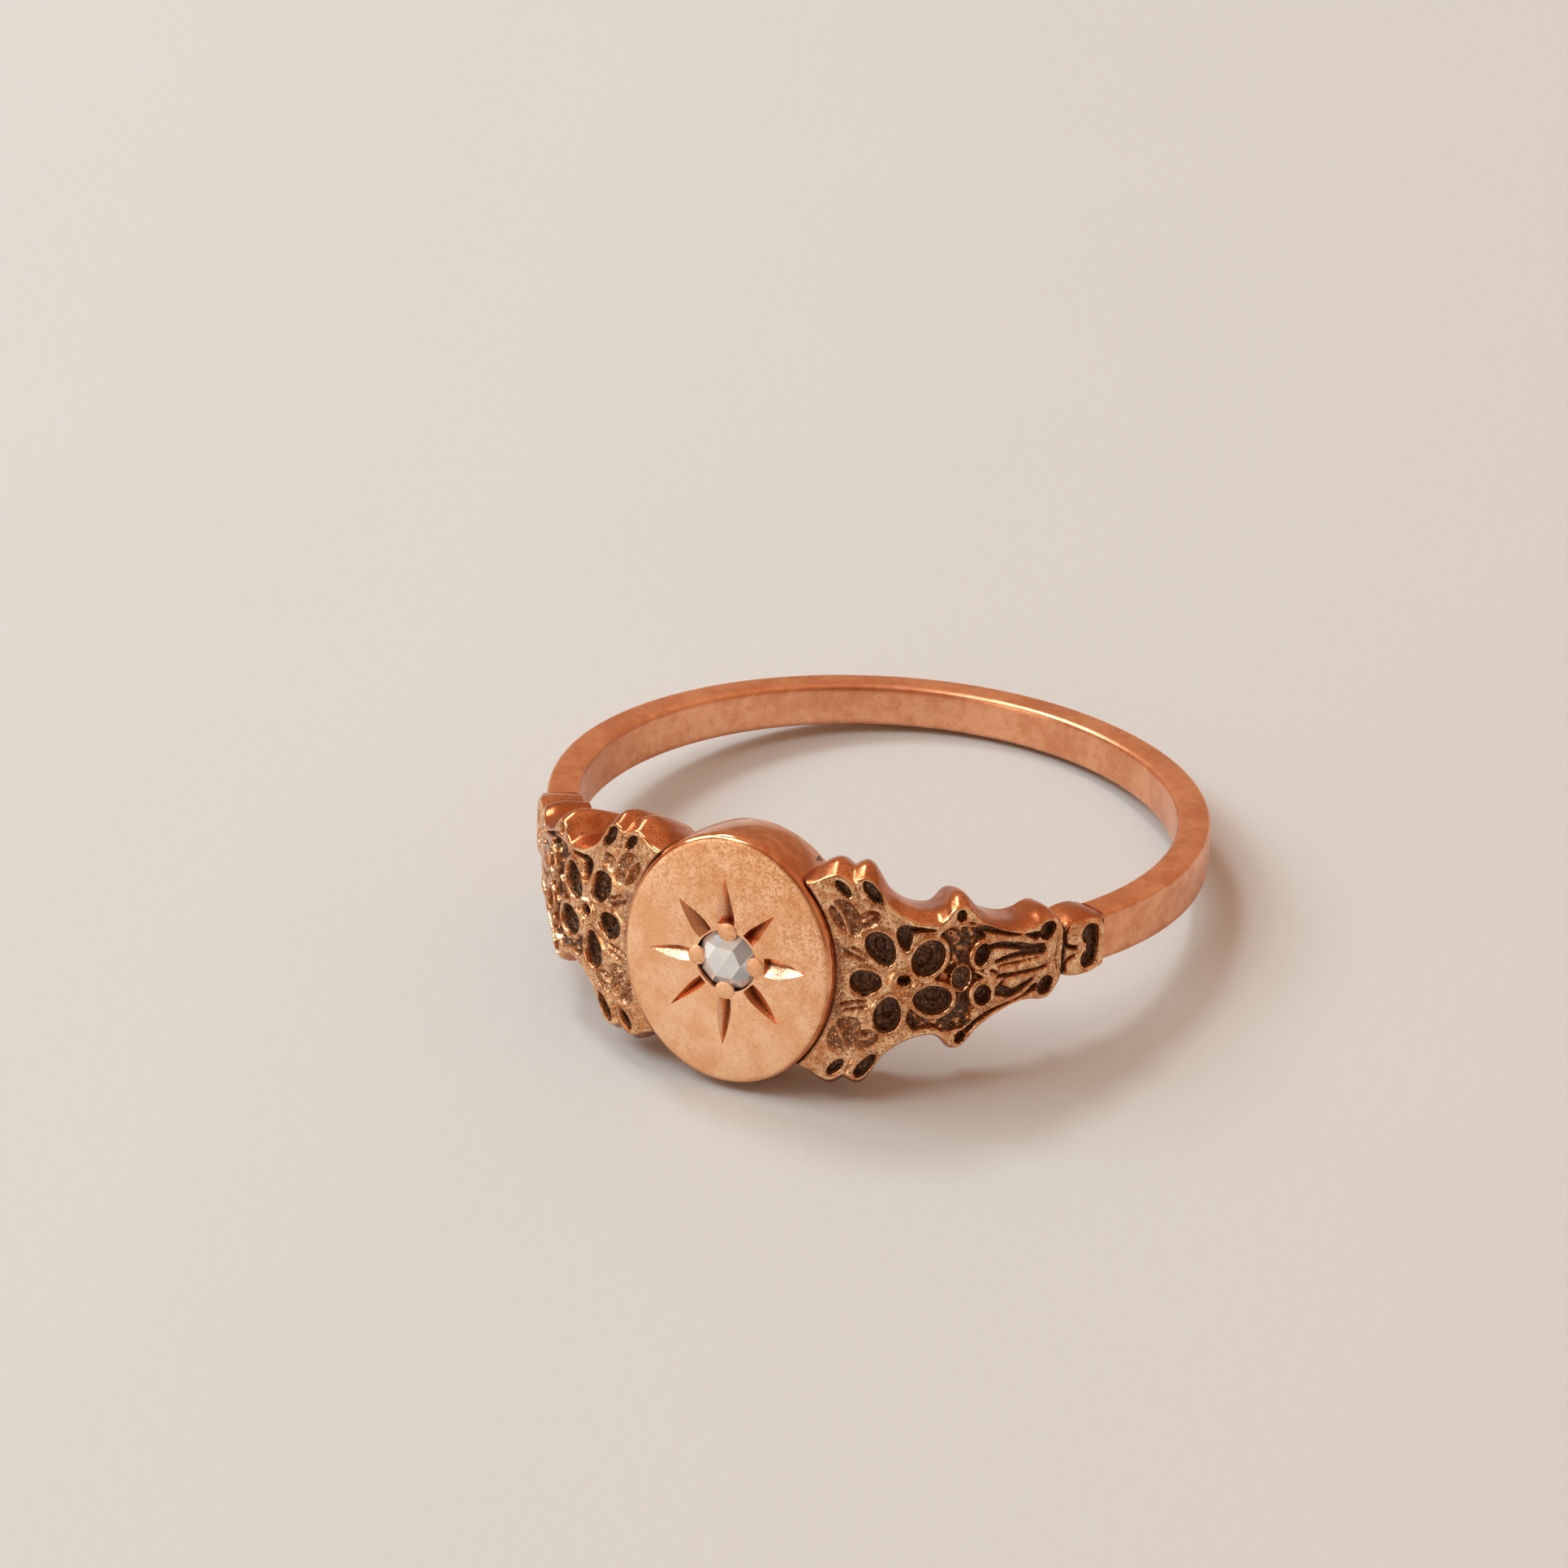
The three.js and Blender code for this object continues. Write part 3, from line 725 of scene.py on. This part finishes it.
for face in bm.faces:
    face.material_index = 0 if all(vert.co.z > -3.5 for vert in face.verts) else 1
for vert in bm.verts:
    inset, deep = profile[round(-vert.co.z)]
    taper = 1 - (1 - TABLE_TAPER) * deep / (TABLE_FACE - FINGER_R)
    across, up = (TABLE_WIDE - inset) * taper * vert.co.x, (TABLE_HIGH - inset) * taper * vert.co.y
    vert.co = on_face(across, up, -deep)
bmesh.ops.recalc_face_normals(bm, faces=bm.faces)
table_matt = matt_gold("table_matt")
# The polished rim, side wall and finger bore get a darker gold than the matt face: painted shade on the
# block's sides.
table_polish_shaded = rose_gold("table_polish_shaded", (0.6, 0.2, 0.08, 1), (0.86, 0.4, 0.2, 1), 0.0)
table_cut = graver_gold("table_cut")
block = loose_object("block", bm, table_matt, table_polish_shaded)
finger = loose_object("finger", bore(FINGER_R, 360, (0, 0, 0), 12, (0, 0, 1)), table_polish_shaded)
seat = loose_object("seat", bore(STONE_R + SEAM, 64, on_face(0, 0), 2 * SEAT_DEEP, (0, 1, 0)), table_cut)
rays = [loose_object("ray", ray_cutter(*ray), table_cut) for ray in RAYS]
bm, finishes = cut_away(block, [finger, seat, *rays])
table = finished("signet_table_block", bm, *finishes)
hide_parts("signet_table")

# ---- stone and foil ----
# One round rose-cut diamond, flat behind, with six facets round its peak and eighteen below them. It lies on
# a bright foil at the bottom of its closed seat.
GIRDLE, CROWN_LOW, CROWN_HIGH, CROWN_R = 0.08, 0.4, 0.46, 0.5
bm = bmesh.new()
for sides, radius, height, turn in (
    (24, STONE_R, 0, 0), (12, STONE_R, GIRDLE, 0), (6, CROWN_R, CROWN_LOW, math.pi / 6),
):
    place = Matrix.Translation((0, 0, height)) @ Matrix.Rotation(turn, 4, "Z")
    bmesh.ops.create_circle(bm, segments=sides, radius=radius, matrix=place)
bm.verts.new((0, 0, CROWN_HIGH))
bmesh.ops.convex_hull(bm, input=bm.verts[:])
bmesh.ops.recalc_face_normals(bm, faces=bm.faces)
# Each facet is given its own brightness, from bluish grey to white: painted reflections that stand in for the
# stone's sparkle.
facet_glint_layer = bm.faces.layers.float.new("facet")
for face in bm.faces:
    bearing = math.atan2(face.normal.y, face.normal.x)
    if face.normal.z > 0.9:
        face[facet_glint_layer] = 0.72 + 0.14 * math.sin(3 * bearing + 2)
    else:
        face[facet_glint_layer] = 0.52 + 0.46 * math.sin(5 * bearing + 1)
bmesh.ops.transform(bm, matrix=Matrix.Translation((0, STONE_SINK, 0)) @ FACE_TURN, verts=bm.verts)
material, at = new_finish("rose_cut_diamond")
# The facet value lightens or darkens each facet's colour: painted reflections, not a tint of the stone.
facet = attribute(at, "facet") + (at.noise(0.5) - 0.5) * 0.2
coat(
    at,
    Base_Color=facet.step(0, 1).blend((0.48, 0.53, 0.59, 1), (1, 1, 1, 1)),
    Metallic=0.3,
    Roughness=0.04,
    IOR=2.42,
    Transmission_Weight=0.2,
)
stone = finished("rose_cut_stone", bm, material, sharp=3)
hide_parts("diamond")

material, at = new_finish("bright_foil")
creases = at.noise(0.25, detail=3.0)
coat(
    at,
    Base_Color=creases.blend((0.8, 0.82, 0.84, 1), (0.93, 0.93, 0.93, 1)),
    Metallic=1.0,
    Roughness=creases * 0.2 + 0.1,
    Normal=creases.bump(0.03),
)
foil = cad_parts["stone_foil"]
foil.data.materials.clear()
foil.data.materials.append(material)

# ---- grains ----
# Four beads of the table's own metal, raised with a graver, pushed over the stone's edge and rubbed down
# nearly flat.
GRAIN_ORBIT = 0.88
GRAIN_WIDE, GRAIN_LONG, GRAIN_HIGH = 0.29, 0.27, 0.05
for name, quarter in (("right", 0), ("top", 1), ("left", 2), ("bottom", 3)):
    bm = bmesh.new()
    bmesh.ops.create_uvsphere(bm, u_segments=48, v_segments=32, radius=1)
    for vert in bm.verts:
        vert.co.z = math.copysign(abs(vert.co.z) ** 0.6, vert.co.z)
    turn = Matrix.Rotation(quarter * math.pi / 2, 4, "Z")
    size = Matrix.Diagonal((GRAIN_LONG, GRAIN_WIDE, GRAIN_HIGH, 1))
    shape = Matrix.Translation((GRAIN_ORBIT, 0, 0)) @ size
    bmesh.ops.transform(bm, matrix=FACE_TURN @ turn @ shape, verts=bm.verts)
    bmesh.ops.recalc_face_normals(bm, faces=bm.faces)
    bead = finished(f"grain_{name}_bead", bm, table_matt)
    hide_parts(f"grain_{name}")
